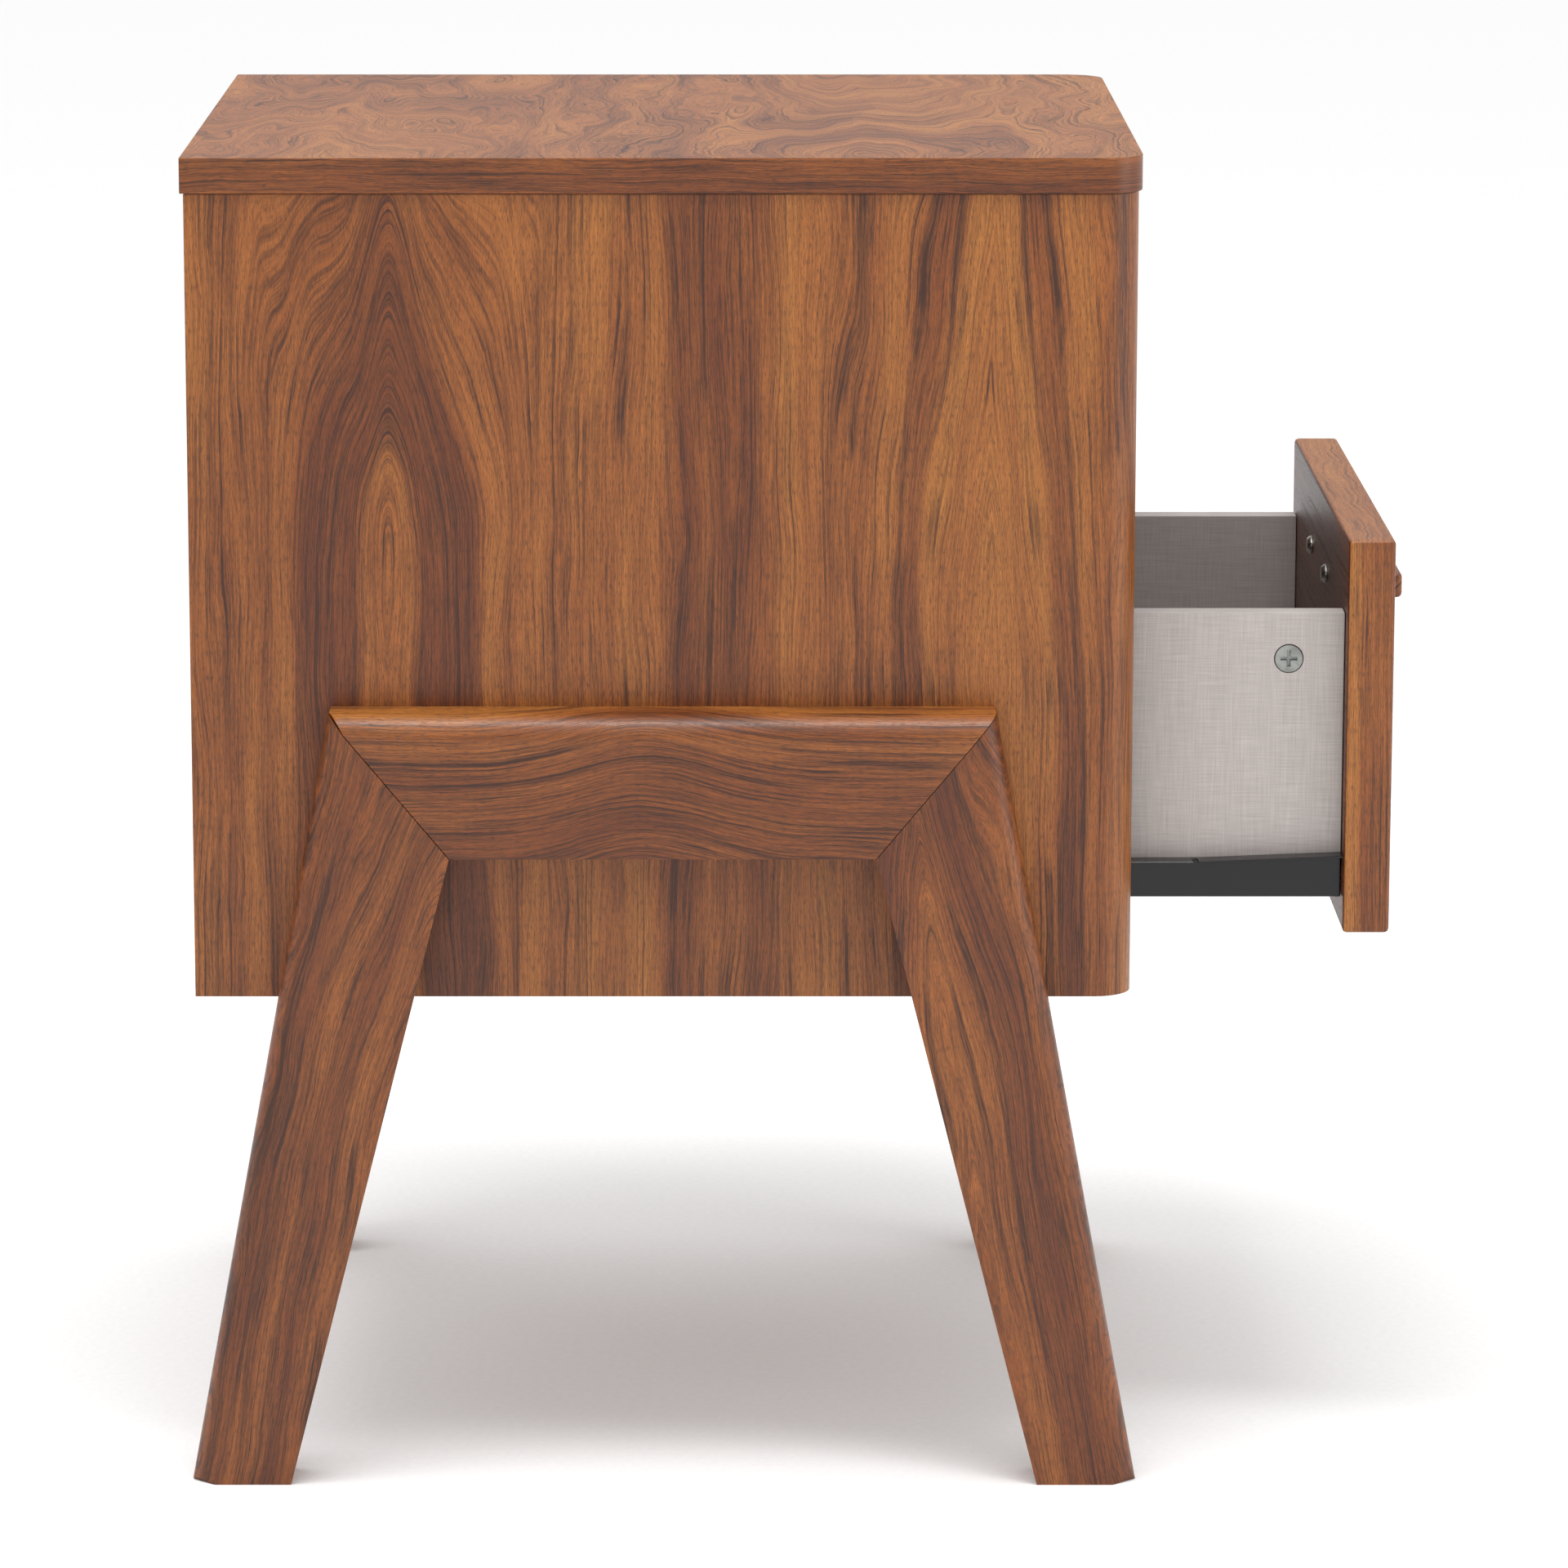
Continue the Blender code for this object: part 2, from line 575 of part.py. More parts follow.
def make_case():
    top = make_top()
    left = make_side_panel("left_side_panel", -1)
    right = make_side_panel("right_side_panel", 1)
    floor = make_board("bottom_panel", CASE_LIFT, FLOOR_THICKNESS)
    shelf = make_board("shelf_panel", SHELF_BOTTOM_Z, SHELF_THICKNESS)
    make_back_panel()
    dowel_y = CASE_DEPTH / 2 - DOWEL_EDGE_INSET
    cam_y = CASE_DEPTH / 2 - FLOOR_CAM_EDGE_INSET
    top_dowel_z = CASE_TOP + SEAT_GAP + TOP_DOWEL_DEPTH - DOWEL_LENGTH / 2
    for label, side, panel in (("left", -1, left), ("right", 1, right)):
        rail = make_leg_frame(label, side)
        add_frame_bolts(label, side, panel, rail)
        for end, direction in (("front", -1), ("rear", 1)):
            y = direction * dowel_y
            shelf_joint = (side * CASE_INNER_X, y, SHELF_MIDDLE_Z)
            add_dowel(f"{label}_{end}_shelf_dowel", (panel, shelf), shelf_joint, AXIS_ALONG_X)
            top_joint = (side * (CASE_WIDTH - SIDE_THICKNESS) / 2, y, top_dowel_z)
            add_dowel(f"{label}_{end}_top_dowel", (panel, top), top_joint, AXIS_ALONG_Z)
            y = direction * cam_y
            cam_x = side * (CASE_INNER_X - FLOOR_CAM_REACH)
            name = f"{label}_{end}_bottom_cam"
            place = (cam_x, y, CASE_LIFT)
            down = (0, 0, -1)
            cam = add_cam(name, FLOOR_CAM_RADIUS, FLOOR_CAM_LENGTH, place, down, floor, CASE)
            pin_tip = (side * (CASE_INNER_X + CAM_PIN_BITE), y, FLOOR_MIDDLE_Z)
            pin_head = (cam_x - side * CAM_PIN_RADIUS / 2, y, FLOOR_MIDDLE_Z)
            add_cam_pin(name + "_pin", pin_tip, pin_head, (floor, panel, cam), CASE)


# Drawer, placed as if shut


def make_drawer():
    front_half_x = CASE_INNER_X - FRONT_SIDE_GAP
    low = (-front_half_x, FRONT_FACE_Y, FRONT_BOTTOM_Z)
    high = (front_half_x, FRONT_INNER_Y, FRONT_TOP_Z)
    front = new_piece("drawer_front", box_mesh("drawer_front", low, high), VENEER, DRAWER)
    bevel(front, FRONT_ARRIS, segments=2)

    sides = []
    for label, side in (("left", -1), ("right", 1)):
        edges = sorted((side * BOX_INNER_X, side * BOX_OUTER_X))
        low = (edges[0], BOX_FRONT_Y, BOX_BOTTOM_Z)
        high = (edges[1], BOX_REAR_Y, BOX_TOP_Z)
        name = f"drawer_{label}_side"
        sides.append(new_piece(name, box_mesh(name, low, high), LINEN_BOARD, DRAWER))
    back_half_x = BOX_INNER_X - SEAT_GAP
    low = (-back_half_x, BOX_BACK_FRONT_Y, BOX_BOTTOM_Z)
    high = (back_half_x, BOX_REAR_Y, BOX_TOP_Z)
    back = new_piece("drawer_back", box_mesh("drawer_back", low, high), LINEN_BOARD, DRAWER)

    # The floor stands in a groove that runs round the inside of all four boards.
    tongue = GROOVE_DEPTH - SEAT_GAP
    low = Vector((-BOX_INNER_X - tongue, FRONT_INNER_Y - tongue, BOX_FLOOR_Z))
    high = Vector((BOX_INNER_X + tongue, BOX_BACK_FRONT_Y + tongue, BOX_FLOOR_Z))
    high.z += BOX_FLOOR_THICKNESS
    new_piece("drawer_bottom", box_mesh("drawer_bottom", low, high), LINEN_BOARD, DRAWER)
    slack = Vector((SEAT_GAP, SEAT_GAP, SEAT_GAP))
    groove_mesh = box_mesh("drawer_bottom_groove", low - slack, high + slack)
    groove = new_cutter("drawer_bottom_groove", groove_mesh, DRAWER)
    for board in (front, back, *sides):
        cut(board, groove)

    for label, side, board in (("left", -1, sides[0]), ("right", 1, sides[1])):
        pin_x = side * (BOX_OUTER_X + BOX_INNER_X) / 2
        cam_y = FRONT_INNER_Y + BOX_CAM_REACH
        name = f"drawer_{label}_cam"
        place = (side * BOX_OUTER_X, cam_y, BOX_CAM_Z)
        outward = (side, 0, 0)
        cam = add_cam(name, BOX_CAM_RADIUS, BOX_CAM_LENGTH, place, outward, board, DRAWER)
        pin_tip = (pin_x, FRONT_INNER_Y - CAM_PIN_BITE, BOX_CAM_Z)
        pin_head = (pin_x, cam_y + CAM_PIN_RADIUS / 2, BOX_CAM_Z)
        add_cam_pin(name + "_pin", pin_tip, pin_head, (board, front, cam), DRAWER)
    make_pull(front)


def make_pull(front):
    """A bar on the face of the drawer front, held by two screws from behind."""
    pull_back_y = FRONT_FACE_Y - SEAT_GAP
    low = (-PULL_LENGTH / 2, pull_back_y - PULL_REACH, PULL_Z - PULL_HEIGHT / 2)
    high = (PULL_LENGTH / 2, pull_back_y, PULL_Z + PULL_HEIGHT / 2)
    pull = new_piece("drawer_pull", box_mesh("drawer_pull", low, high), VENEER, DRAWER)
    bevel(pull, PULL_ARRIS, segments=3)
    head_y = FRONT_INNER_Y + SEAT_GAP
    shank = FRONT_THICKNESS + 2 * SEAT_GAP + PULL_SCREW_BITE
    for label, side in (("left", -1), ("right", 1)):
        name = f"{label}_pull_screw"
        x = side * PULL_SCREW_SPACING / 2
        head = (PULL_SCREW_HEAD_RADIUS, PULL_SCREW_HEAD_THICKNESS)
        place = (x, head_y, PULL_Z)
        shank_size = (PULL_SCREW_RADIUS, shank)
        add_headed_screw(name, ZINC, DRAWER, place, AXIS_ALONG_Y, head, shank_size)
        centre = (x, head_y - shank / 2, PULL_Z)
        boards = (front, pull)
        bore(name + "_bore", boards, centre, AXIS_ALONG_Y, PULL_SCREW_RADIUS, shank, DRAWER)


# Runners. A carrier, folded from strip, holds the drawer side's lower edge and rolls on the
# front roller of a track on the case, and the carrier's own rear roller runs in that track.


def carrier_ring(side, y, rise):
    """The carrier's folded section: a shelf under the board, a web, and an outward flange."""
    shelf_end = BOX_INNER_X + SEAT_GAP
    shelf_top = CARRIER_BOTTOM_Z + RUNNER_GAUGE
    top = CARRIER_TOP_Z + rise
    section = [
        (shelf_end, CARRIER_BOTTOM_Z),
        (CARRIER_WEB_X, CARRIER_BOTTOM_Z),
        (CARRIER_WEB_X, top - RUNNER_GAUGE),
        (CARRIER_FLANGE_X, top - RUNNER_GAUGE),
        (CARRIER_FLANGE_X, top),
        (CARRIER_BACK_X, top),
        (CARRIER_BACK_X, shelf_top),
        (shelf_end, shelf_top),
    ]
    return [(side * x, y, z) for x, z in section]


def make_carrier(label, side):
    """A carrier whose flange slopes up to the drawer front, with a notch where it levels."""
    ramp_y = BOX_FRONT_Y + CARRIER_RAMP_LENGTH
    rings = [
        carrier_ring(side, BOX_FRONT_Y, CARRIER_RAMP_RISE),
        carrier_ring(side, ramp_y, 0),
        carrier_ring(side, BOX_REAR_Y, 0),
    ]
    name = f"{label}_drawer_runner"
    carrier = new_piece(name, lofted_mesh(name, rings), RUNNER_STEEL, DRAWER)
    edges = sorted((side * (CARRIER_WEB_X + RUNNER_GAUGE), side * TRACK_WEB_X))
    low = (edges[0], ramp_y, CARRIER_TOP_Z - 2 * RUNNER_GAUGE)
    high = (edges[1], ramp_y + CARRIER_NOTCH, CARRIER_TOP_Z + RUNNER_GAUGE)
    notch = box_mesh(name + "_notch", low, high)
    cut(carrier, new_cutter(notch.name, notch, DRAWER))
    return carrier


def make_track(label, side):
    """A channel on the case's inner face, its upper flange cut back behind the front roller."""
    section = [
        (TRACK_FLANGE_X, TRACK_BOTTOM_Z),
        (TRACK_BACK_X, TRACK_BOTTOM_Z),
        (TRACK_BACK_X, TRACK_TOP_Z),
        (TRACK_FLANGE_X, TRACK_TOP_Z),
        (TRACK_FLANGE_X, TRACK_TOP_Z - RUNNER_GAUGE),
        (TRACK_WEB_X, TRACK_TOP_Z - RUNNER_GAUGE),
        (TRACK_WEB_X, TRACK_BOTTOM_Z + RUNNER_GAUGE),
        (TRACK_FLANGE_X, TRACK_BOTTOM_Z + RUNNER_GAUGE),
    ]
    name = f"{label}_case_runner"
    length = TRACK_REAR_Y - TRACK_FRONT_Y
    mesh = flat_mesh(name, [(side * x, z) for x, z in section], length)
    place = (0, TRACK_FRONT_Y + length / 2, 0)
    track = new_piece(name, mesh, RUNNER_STEEL, CASE, place, THICK_ALONG_Y)
    edges = sorted((side * CARRIER_WEB_X, side * TRACK_WEB_X))
    low = (edges[0], TRACK_FRONT_Y - RUNNER_GAUGE, TRACK_TOP_Z - 2 * RUNNER_GAUGE)
    high = (edges[1], TRACK_FRONT_Y + TRACK_FLANGE_SETBACK, TRACK_TOP_Z + RUNNER_GAUGE)
    relief = box_mesh(name + "_relief", low, high)
    cut(track, new_cutter(relief.name, relief, CASE))
    return track


def add_roller(name, side, web, back_x, web_x, y, z, parent):
    """A roller on a rivet that stands out of a runner's web, at the joint's own axis.

    back_x and web_x are the distances from the middle of the case of the web's two faces:
    the one against the board, and the one that the roller runs beside.
    """
    outward = math.copysign(1, web_x - back_x)
    roller_x = web_x + outward * (ROLLER_SIDE_GAP + ROLLER_WIDTH / 2)
    half = ROLLER_WIDTH / 2
    hub = RIVET_RADIUS + RUNNING_GAP
    tread = half - ROLLER_CHAMFER
    tyre = ROLLER_RADIUS - ROLLER_CHAMFER
    profile = [(tyre, half), (ROLLER_RADIUS, tread), (ROLLER_RADIUS, -tread)]
    profile += [(tyre, -half), (hub, -half), (hub, half)]
    mesh = turned_mesh(name, profile, ROLLER_STEPS, ring=True)
    new_piece(name, mesh, NYLON, parent, (side * roller_x, y, z), AXIS_ALONG_X)

    # The rivet is turned with its head up, and laid with the head past the roller's open end.
    rivet_name = name + "_rivet"
    head = (RIVET_HEAD_RADIUS, RIVET_HEAD_THICKNESS)
    shank = (RIVET_RADIUS, RUNNER_GAUGE + RIVET_REACH)
    head_place = (side * (web_x + outward * RIVET_REACH), y, z)
    turn = (0, side * outward * math.pi / 2, 0)
    add_headed_screw(rivet_name, ZINC, parent, head_place, turn, head, shank)
    hole_place = (side * (back_x + web_x) / 2, y, z)
    hole_length = 2 * RUNNER_GAUGE
    bore(
        rivet_name + "_bore", (web,), hole_place, AXIS_ALONG_X, RIVET_RADIUS, hole_length, parent
    )


def make_runners():
    rear_y = BOX_REAR_Y - ROLLER_INSET
    front_y = TRACK_FRONT_Y + ROLLER_INSET
    for label, side in (("left", -1), ("right", 1)):
        carrier = make_carrier(label, side)
        name = f"{label}_rear_roller"
        add_roller(
            name, side, carrier, CARRIER_BACK_X, CARRIER_WEB_X, rear_y, REAR_ROLLER_Z, DRAWER
        )
        track = make_track(label, side)
        name = f"{label}_front_roller"
        add_roller(name, side, track, TRACK_BACK_X, TRACK_WEB_X, front_y, FRONT_ROLLER_Z, CASE)


clear_scene()
PARTS = new_collection("side_table")
CUTTERS = new_collection("side_table_cutters")
VENEER = new_material("walnut_veneer", (0.262, 0.105, 0.046), 0.45)
LINEN_BOARD = new_material("linen_foil_board", (0.479, 0.434, 0.407), 0.6)
HARDBOARD = new_material("brown_hardboard", (0.150, 0.075, 0.040), 0.7)
BEECH = new_material("beech", (0.520, 0.330, 0.180), 0.6)
RUNNER_STEEL = new_material("black_runner_enamel", (0.012, 0.011, 0.014), 0.25)
ZINC = new_material("zinc_plate", (0.600, 0.600, 0.580), 0.35, metallic=1.0)
NYLON = new_material("white_nylon", (0.700, 0.690, 0.660), 0.45)
CASE = new_empty("case_middle", (0, CASE_SHIFT_Y, 0))
DRAWER = new_empty("drawer_slide", (0, -DRAWER_OPEN_AT_REST, 0), CASE)
make_case()
make_drawer()
make_runners()
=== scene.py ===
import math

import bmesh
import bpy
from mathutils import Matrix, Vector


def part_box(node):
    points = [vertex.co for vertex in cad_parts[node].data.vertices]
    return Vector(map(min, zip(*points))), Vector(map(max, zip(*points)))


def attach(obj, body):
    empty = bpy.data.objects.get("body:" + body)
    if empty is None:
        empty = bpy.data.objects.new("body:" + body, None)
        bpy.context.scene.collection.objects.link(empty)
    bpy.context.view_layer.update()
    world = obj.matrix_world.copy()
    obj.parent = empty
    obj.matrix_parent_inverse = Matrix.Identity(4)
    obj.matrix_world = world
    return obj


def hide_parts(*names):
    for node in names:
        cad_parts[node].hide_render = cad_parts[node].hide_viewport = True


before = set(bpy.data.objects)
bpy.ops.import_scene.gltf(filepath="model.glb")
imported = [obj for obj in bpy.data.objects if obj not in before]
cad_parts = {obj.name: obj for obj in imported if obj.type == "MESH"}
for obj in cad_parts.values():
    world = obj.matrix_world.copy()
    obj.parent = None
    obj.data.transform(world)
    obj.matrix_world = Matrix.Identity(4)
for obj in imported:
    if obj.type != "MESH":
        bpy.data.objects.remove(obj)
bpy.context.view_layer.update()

# The side table as a cabinet maker finishes it: walnut veneer, linen-look foil, black runners.
# Metres, +Z up, the drawer towards -Y. Every board is a clean copy of its solid with eased edges,
# and each face is laid with the veneer, edge band or foil that the maker would put there.

MM = 0.001

# Camera and room
CAMERA_PLACE = (-3.0384, 0.0327, 0.8835)
CAMERA_PITCH = math.radians(11.49)
CAMERA_LENS = 158.4
CAMERA_SENSOR = 36.0
CAMERA_SHIFT = 0.0365
CAMERA_REACH = 100.0
FLOOR_SIDE = 60.0
TABLE_MIDDLE = (0, 0, 0.35)
CEILING_GLOW = math.radians(130)

# Edges: the arris that sandpaper or a folding press leaves, and what counts as an edge at all
BOARD_ARRIS = 0.0005
THIN_ARRIS = 0.0003
LEG_ARRIS = 0.0006
STEEL_BEND = 0.00048
SHORTEST_EDGE = 0.0012
WELD = 0.00001
FLAT_WITHIN = math.radians(0.5)
ROUND_WITHIN = math.radians(28)
EDGE_FROM = math.radians(40)
FACING = 0.6

# How far the legs lean for each metre of height
LEG_SPLAY = 0.182

UP = Vector((0, 0, 1))
FORWARD = Vector((0, -1, 0))
RIGHT = Vector((1, 0, 0))
ALL_ROUND = (RIGHT, -RIGHT, FORWARD, -FORWARD)

# Walnut. Widths across the grain and lengths along it are in mm.
HAND, FINGER = 70, 18
ARCH_TIP = 3.0
ARCH_START = 40.0
ARCH_SPREAD = (10, 75)
ARCH_RAGS = (24, 110)
UNEVEN_RINGS = 11
LINE_FADING = (7, 70)
CLOSE_LINES = (1.0, 80)
HAIR_LINES = (0.42, 16)
FIBRES = (0.5, 6)
PORES = (0.36, 3.6)
COLOUR_DRIFT = (16, 300)
COLOUR_CLOUDS = (40, 110)
PLAIN_TONE = 0.58
WALNUT_TONES = ((0.05, "#A6672B"), (0.35, "#985824"), (0.60, "#84471A"), (0.85, "#733914"),
                (1.0, "#622D10"))
LATE_WOOD = "#3B1B09"
OPEN_PORE = "#30170D"


def srgb(code):
    """A colour written as an sRGB hex value, in the linear light that shaders use."""
    values = [int(code[i:i + 2], 16) / 255 for i in (1, 3, 5)]
    linear = [c / 12.92 if c <= 0.04045 else ((c + 0.055) / 1.055) ** 2.4 for c in values]
    return (*linear, 1.0)


def add(tree, kind, links=None, output=None, stops=(), **settings):
    """Adds a shader node with its settings and links, and gives the output that is used next.
    stops are a colour ramp's (place, sRGB hex or grey level) pairs."""
    node = tree.nodes.new("ShaderNode" + kind)
    for name, value in settings.items():
        setattr(node, name, value)
    while stops and len(node.color_ramp.elements) < len(stops):
        node.color_ramp.elements.new(0.5)
    for index, (place, shade) in enumerate(stops):
        element = node.color_ramp.elements[index]
        element.position = place
        element.color = srgb(shade) if isinstance(shade, str) else (shade, shade, shade, 1)
    for socket, value in (links or {}).items():
        if isinstance(value, bpy.types.NodeSocket):
            tree.links.new(value, node.inputs[socket])
        else:
            node.inputs[socket].default_value = value
    if output:
        return node.outputs[output]
    return next((socket for socket in node.outputs if socket.enabled), node)


def new_material(name):
    """An empty material, its tree, and the place on the object in metres."""
    material = bpy.data.materials.new(name)
    material.use_nodes = True
    material.node_tree.nodes.clear()
    return material, material.node_tree, add(material.node_tree, "TexCoord", output="Object")


def finish_material(tree, colour, roughness, height, depth, **sockets):
    """The surface shader: linked colour, roughness and bump, and its uniform values."""
    normal = add(tree, "Bump", {"Height": height, "Distance": depth, "Strength": 1.0})
    links = {"Base Color": colour, "Roughness": roughness, "Normal": normal}
    shader = add(tree, "BsdfPrincipled", {**links, **sockets})
    add(tree, "OutputMaterial", {"Surface": shader})


def streaks(tree, across, along, size, seed, detail=2.0, roughness=0.5):
    """Long soft blotches. size is their width across the grain and length along it, in mm."""
    width, length = size
    narrowed = add(tree, "Math", {0: across, 1: 1 / width}, operation="MULTIPLY")
    drawn_out = add(tree, "Math", {0: along, 1: 1 / length}, operation="MULTIPLY")
    spot = add(tree, "CombineXYZ", {"X": narrowed, "Y": drawn_out, "Z": seed})
    settings = {"Vector": spot, "Scale": 1.0, "Detail": detail, "Roughness": roughness}
    return add(tree, "TexNoise", settings)


def strayed_grain(tree, u, v, wander, reach, hump, seed):
    """The place across the leaf after the grain has strayed from side to side, three times as
    far over a hand's breadth as over a finger's, and has swelled over a hump."""
    broad = streaks(tree, u, v, (HAND, reach), seed + 3.1, detail=1.0)
    narrow = streaks(tree, u, v, (FINGER, reach / 4), seed + 7.7)
    far = add(tree, "Math", {0: broad, 1: 3 * wander, 2: -1.5 * wander},
              operation="MULTIPLY_ADD")
    near = add(tree, "Math", {0: narrow, 1: wander, 2: -0.5 * wander}, operation="MULTIPLY_ADD")
    stray = add(tree, "Math", {0: far, 1: near}, operation="ADD")
    bent = add(tree, "Math", {0: u, 1: stray}, operation="ADD")
    if hump:
        middle, width, rise = hump
        away = add(tree, "Math", {0: v, 1: 1 / width, 2: -middle / width},
                   operation="MULTIPLY_ADD")
        squared = add(tree, "Math", {0: away, 1: away}, operation="MULTIPLY")
        swell = add(tree, "Math", {0: math.exp(-1), 1: squared}, operation="POWER")
        bent = add(tree, "Math", {0: swell, 1: -rise, 2: bent}, operation="MULTIPLY_ADD")
    return bent


def arched_rings(tree, bent, u, v, arches, wander, seed):
    """Where a place lies in the run of growth rings on a leaf with a heart, counted out from the
    heart, and the same counted from side to side."""
    heart, leaf, foot, lean, slope = arches
    from_heart = add(tree, "Math", {0: bent, 1: heart}, operation="SUBTRACT")
    aside = add(tree, "Math", {0: from_heart, 1: leaf}, operation="PINGPONG")
    level = add(tree, "Math", {0: u, 1: -lean, 2: -foot}, operation="MULTIPLY_ADD")
    climb = add(tree, "Math", {0: v, 1: level}, operation="ADD")
    closing = add(tree, "Math", {0: climb, 1: 0.0, 2: ARCH_START}, operation="SMOOTH_MAX")
    # The rings close towards the heart, and a third as fast the other way at the next one.
    near, far = ARCH_SPREAD
    towards = add(tree, "MapRange", {
        "Value": aside, "From Min": near, "From Max": far, "To Min": slope, "To Max": 0.0
    }, interpolation_type="SMOOTHSTEP")
    back = add(tree, "MapRange", {
        "Value": aside, "From Min": leaf - 80, "From Max": leaf - 10, "To Min": 0.0,
        "To Max": -0.35 * slope
    }, interpolation_type="SMOOTHSTEP")
    turn = add(tree, "Math", {0: towards, 1: back}, operation="ADD")
    # A tip is blunt for a few millimetres either side of the heart.
    blunt = add(tree, "CombineXYZ", {"X": aside, "Y": ARCH_TIP})
    flat = add(tree, "VectorMath", {0: blunt}, operation="LENGTH")
    closed = add(tree, "Math", {0: closing, 1: turn, 2: flat}, operation="MULTIPLY_ADD")
    # The two flanks of an arch never match, so the rings stray by themselves as well.
    ragged = add(tree, "Math", {
        0: streaks(tree, u, v, ARCH_RAGS, seed + 5.9, detail=1.0),
        1: 2.5 * wander, 2: -1.25 * wander}, operation="MULTIPLY_ADD")
    rings = add(tree, "Math", {0: closed, 1: ragged}, operation="ADD")
    flank = add(tree, "Math", {0: from_heart}, operation="SIGN")
    lay = add(tree, "Math", {0: flank, 1: rings, 2: heart}, operation="MULTIPLY_ADD")
    return rings, lay


def growth_lines(tree, rings, v, ring, figure, seed):
    """Lines that darken slowly and end sharply, unevenly spaced, and fade along the grain."""
    scaled = add(tree, "Math", {0: rings, 1: 1 / UNEVEN_RINGS}, operation="MULTIPLY")
    uneven = add(tree, "TexNoise", {"W": scaled, "Scale": 1.0, "Detail": 2.0},
                 noise_dimensions="1D")
    counted = add(tree, "Math", {0: rings, 1: 1 / ring}, operation="MULTIPLY")
    season = add(tree, "Math", {0: uneven, 1: 3.6, 2: counted}, operation="MULTIPLY_ADD")
    late = add(tree, "Math", {0: season}, operation="FRACT")
    edge = add(tree, "ValToRGB", {"Fac": late}, stops=(
        (0.0, 0.0), (0.40, 0.08), (0.78, 0.62), (0.90, 1.0), (0.97, 0.0)))
    fading = add(tree, "MapRange", {
        "Value": streaks(tree, rings, v, LINE_FADING, seed + 11.3),
        "From Min": 0.40, "From Max": 0.62, "To Min": 0.08, "To Max": 1.0
    }, interpolation_type="SMOOTHSTEP")
    faded = add(tree, "Math", {0: edge, 1: fading}, operation="MULTIPLY")
    return add(tree, "Math", {0: faded, 1: figure}, operation="MULTIPLY")


def leaf_tone(tree, rings, lay, u, v, bands, seed):
    """How red-brown the wood is: bands across the leaf, drifting along it, under soft clouds."""
    drift = add(tree, "Math", {
        0: streaks(tree, rings, v, COLOUR_DRIFT, seed + 17.9, 3.0, 0.6),
        1: 1.3, 2: -0.65}, operation="MULTIPLY_ADD")
    cloud = add(tree, "Math", {
        0: streaks(tree, u, v, COLOUR_CLOUDS, seed + 23.0, 3.0, 0.6),
        1: 0.6, 2: -0.3}, operation="MULTIPLY_ADD")
    change = add(tree, "Math", {0: drift, 1: cloud}, operation="ADD")
    base = PLAIN_TONE
    if bands:
        start, stop = bands[0][0], bands[-1][0]
        spread = add(tree, "MapRange", {"Value": lay, "From Min": start, "From Max": stop})
        base = add(tree, "ValToRGB", {"Fac": spread}, stops=[
            ((spot - start) / (stop - start), tone) for spot, tone in bands])
    return add(tree, "Math", {0: change, 1: base}, operation="ADD")


